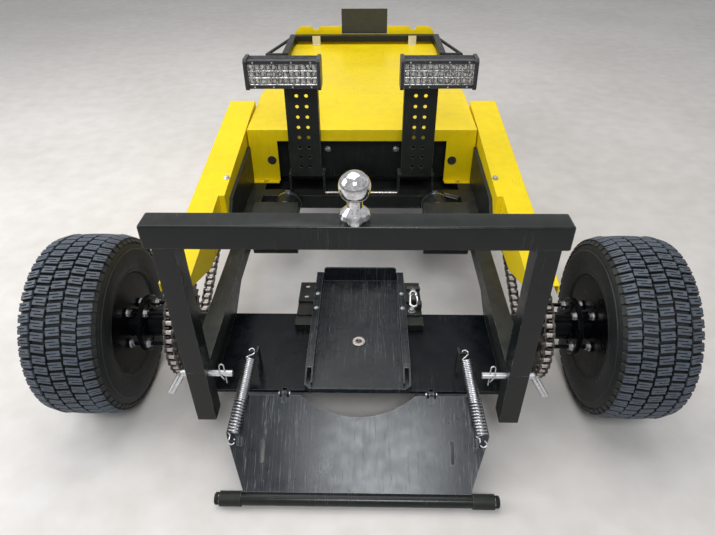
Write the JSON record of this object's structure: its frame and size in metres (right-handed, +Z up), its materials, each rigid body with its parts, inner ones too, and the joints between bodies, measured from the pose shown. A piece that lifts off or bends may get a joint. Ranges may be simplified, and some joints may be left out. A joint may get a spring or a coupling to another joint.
{
  "type": "electric aircraft tug",
  "caption": "Low electric tug for towing light aircraft, with a nose-wheel cradle, a drop ramp, a removable tow-ball gantry, chain drive and rear casters.",
  "frame": {"origin": "on the floor under the middle of the whole tug's length and width", "axes": "+X to the right seen from the ramp end, +Y from the ramp end towards the operator's end, +Z up"},
  "size_m": [1.345, 1.9689, 0.6836],
  "materials": {
    "yellow_paint": "gloss, scuffed along the edges",
    "black_paint": "satin black",
    "black_sheet": "gloss black, scratched",
    "rim_black": "gloss black",
    "tyre_rubber": "dusty, bluish dark grey",
    "chain_steel": "oiled",
    "zinc": "zinc plated",
    "chrome": "mirror",
    "alloy": "cast, dull",
    "lamp_black": "ribbed, satin",
    "lamp_mirror": "bright cups behind a clear lens",
    "rubber": "matte",
    "battery_case": "plain",
    "box_plastic": "satin dark grey",
    "cream_plastic": "pale cream"
  },
  "bodies": {
    "chassis": {"rails": "black_paint", "side_plates": "black_paint", "spindles": "black_paint", "socket_posts": "black_paint", "gantry_uprights": "black_paint", "gantry_bar": "black_paint", "tow_ball": "chrome", "hitch_pins": "zinc", "deck": "black_sheet", "hinge_pins": "zinc", "turn_bolt": "zinc", "spring_brackets": "black_paint", "springs": "zinc", "motor_plates": "black_paint", "gear_motors": "black_paint", "lamp_posts": "black_paint", "lamps": "lamp_black", "reflectors": "lamp_mirror", "caster_plates": "zinc", "hood_front": "yellow_paint", "hood_plugs": "rubber", "hood_rear": "yellow_paint", "bulkhead": "black_paint", "cross_tube": "black_paint", "caster_beam": "black_paint", "tie_rod": "zinc", "floor_plate": "black_sheet", "battery": "battery_case", "rear_guard": "black_paint", "rear_panel": "yellow_paint", "hood_catches": "cream_plastic", "guard_loops": "black_paint", "control_box": "box_plastic", "fender_left": "yellow_paint", "fender_right": "yellow_paint", "chain_left": "chain_steel", "chain_right": "chain_steel"},
    "cradle": {"cradle_pan": "black_sheet", "strap_wings": "black_paint"},
    "ramp": {"ramp_flap": "black_sheet", "tip_bar": "black_paint", "tip_sleeves": "black_paint"},
    "wheel_left": {"tyre_left": "tyre_rubber", "rim_left": "rim_black", "hub_left": "alloy", "wheel_sprocket_left": "chain_steel"},
    "drive_sprocket_left": {"motor_sprocket_left": "chain_steel"},
    "caster_left": {"caster_fork_left": "zinc"},
    "caster_roller_left": {"caster_wheel_left": "rubber"},
    "wheel_right": {"tyre_right": "tyre_rubber", "rim_right": "rim_black", "hub_right": "alloy", "wheel_sprocket_right": "chain_steel"},
    "drive_sprocket_right": {"motor_sprocket_right": "chain_steel"},
    "caster_right": {"caster_fork_right": "zinc"},
    "caster_roller_right": {"caster_wheel_right": "rubber"}
  },
  "joints": [
    {"name": "wheel_spin_left", "type": "hinge", "parent": "chassis", "child": "wheel_left", "pos_m": [-0.59, -0.65003, 0.203], "axis": [1, 0, 0], "continuous": true},
    {"name": "sprocket_spin_left", "type": "hinge", "parent": "chassis", "child": "drive_sprocket_left", "pos_m": [-0.4, -0.31883, 0.2525], "axis": [1, 0, 0], "continuous": true},
    {"name": "caster_turn_left", "type": "hinge", "parent": "chassis", "child": "caster_left", "pos_m": [-0.215, 0.72997, 0.187], "axis": [0, 0, 1], "continuous": true},
    {"name": "caster_roll_left", "type": "hinge", "parent": "caster_left", "child": "caster_roller_left", "pos_m": [-0.215, 0.68997, 0.076], "axis": [1, 0, 0], "continuous": true},
    {"name": "wheel_spin_right", "type": "hinge", "parent": "chassis", "child": "wheel_right", "pos_m": [0.59, -0.65003, 0.203], "axis": [1, 0, 0], "continuous": true},
    {"name": "sprocket_spin_right", "type": "hinge", "parent": "chassis", "child": "drive_sprocket_right", "pos_m": [0.4, -0.31883, 0.2525], "axis": [1, 0, 0], "continuous": true},
    {"name": "caster_turn_right", "type": "hinge", "parent": "chassis", "child": "caster_right", "pos_m": [0.215, 0.72997, 0.187], "axis": [0, 0, 1], "continuous": true},
    {"name": "caster_roll_right", "type": "hinge", "parent": "caster_right", "child": "caster_roller_right", "pos_m": [0.215, 0.68997, 0.076], "axis": [1, 0, 0], "continuous": true},
    {"name": "cradle_turn", "type": "hinge", "parent": "chassis", "child": "cradle", "pos_m": [0, -0.65003, 0.143], "axis": [0, 0, 1], "range_deg": [-30, 30]},
    {"name": "ramp_hinge", "type": "hinge", "parent": "chassis", "child": "ramp", "pos_m": [0, -0.79603, 0.134], "axis": [-1, 0, 0], "range_deg": [0, 60], "deforming": ["springs"]}
  ],
  "couplings": [
    {"joint": "sprocket_spin_left", "follows": "wheel_spin_left", "ratio": 3},
    {"joint": "sprocket_spin_right", "follows": "wheel_spin_right", "ratio": 3}
  ]
}
